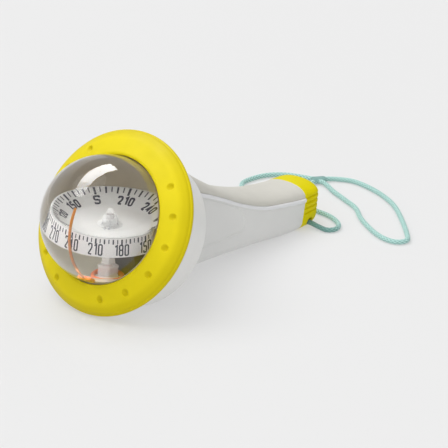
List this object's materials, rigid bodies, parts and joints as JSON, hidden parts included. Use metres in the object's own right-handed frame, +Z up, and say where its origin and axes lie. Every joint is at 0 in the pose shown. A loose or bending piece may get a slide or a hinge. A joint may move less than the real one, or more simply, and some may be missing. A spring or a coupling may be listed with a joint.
{
  "type": "hand bearing compass",
  "caption": "Hand bearing compass with a fluid-filled domed capsule in a bumper ring, a gimballed card with a lubber line, and a grip with an end cap and cord lanyard.",
  "frame": {"origin": "centre of the object's footprint on the surface it lies on, with the cord left out", "axes": "+Z up, +Y from the dome towards the end of the grip, +X to the right of someone holding the grip and looking over the dome"},
  "size_m": [0.1313, 0.2633, 0.0899],
  "materials": {
    "yellow_rubber": "matte moulded rubber",
    "yellow_plastic": "satin moulding",
    "grey_plastic": "satin moulding",
    "warm_grey_plastic": "soft matte moulding",
    "taupe_plastic": "matte",
    "clear_acrylic": "clear and polished",
    "card_white": "matte, printed in black",
    "orange_plastic": "satin",
    "orange_brass": "orange lacquer",
    "black_rubber": "matte",
    "black_plastic": "matte",
    "steel": "bright",
    "cell_can": "printed sleeve",
    "brass": "turned",
    "board": "solder mask",
    "jewel": "polished",
    "cord": "braided"
  },
  "bodies": {
    "housing": {"bezel_bumper": "yellow_rubber", "capsule_bowl": "taupe_plastic", "capsule_seal": "black_rubber", "cell_1": "cell_can", "cell_2": "cell_can", "clamp_ring": "grey_plastic", "clamp_screw_1": "steel", "clamp_screw_2": "steel", "clamp_screw_3": "steel", "clamp_screw_4": "steel", "clamp_screw_5": "steel", "clamp_screw_6": "steel", "contact_front": "steel", "diaphragm": "black_rubber", "diaphragm_ring": "steel", "dome": "clear_acrylic", "fill_plug": "brass", "handle_lower": "grey_plastic", "handle_upper": "warm_grey_plastic", "head_cup": "grey_plastic", "lamp_board": "board", "lamp_led": "clear_acrylic", "light_switch": "black_plastic"},
    "gimbal": {"gimbal_arm_left": "clear_acrylic", "gimbal_arm_right": "clear_acrylic", "gimbal_pin_left": "steel", "gimbal_pin_right": "steel", "gimbal_base": "orange_plastic", "lubber_line": "orange_plastic", "gimbal_weight": "orange_brass", "trim_block": "black_plastic", "pivot_block": "clear_acrylic", "pivot_needle": "steel"},
    "card": {"card": "card_white", "card_float": "card_white", "magnet_1": "steel", "magnet_2": "steel", "card_cap": "clear_acrylic", "pivot_jewel": "jewel"},
    "light_button": {"light_button": "yellow_rubber"},
    "end_cap": {"end_cap": "yellow_plastic", "cap_seal": "black_rubber", "contact_rear": "steel", "cell_spring_1": "steel", "cell_spring_2": "steel", "lanyard_near": "cord", "lanyard_far": "cord", "lanyard_loop": "cord", "lanyard_whipping": "cord"}
  },
  "joints": [
    {"name": "gimbal_swing", "type": "hinge", "parent": "housing", "child": "gimbal", "pos_m": [0, -0.06275, 0.0493], "axis": [1, 0, 0], "continuous": true},
    {"name": "card_spin", "type": "hinge", "parent": "gimbal", "child": "card", "pos_m": [0, -0.06275, 0.0493], "axis": [0, 0, 1], "continuous": true},
    {"name": "light_press", "type": "slide", "parent": "housing", "child": "light_button", "axis": [0, 0, 1], "range_m": [0, 0.001], "stiffness_N_per_m": 800, "springref_m": -0.0005},
    {"name": "cap_pull", "type": "slide", "parent": "housing", "child": "end_cap", "axis": [0, 1, 0], "range_m": [0, 0.03]}
  ]
}
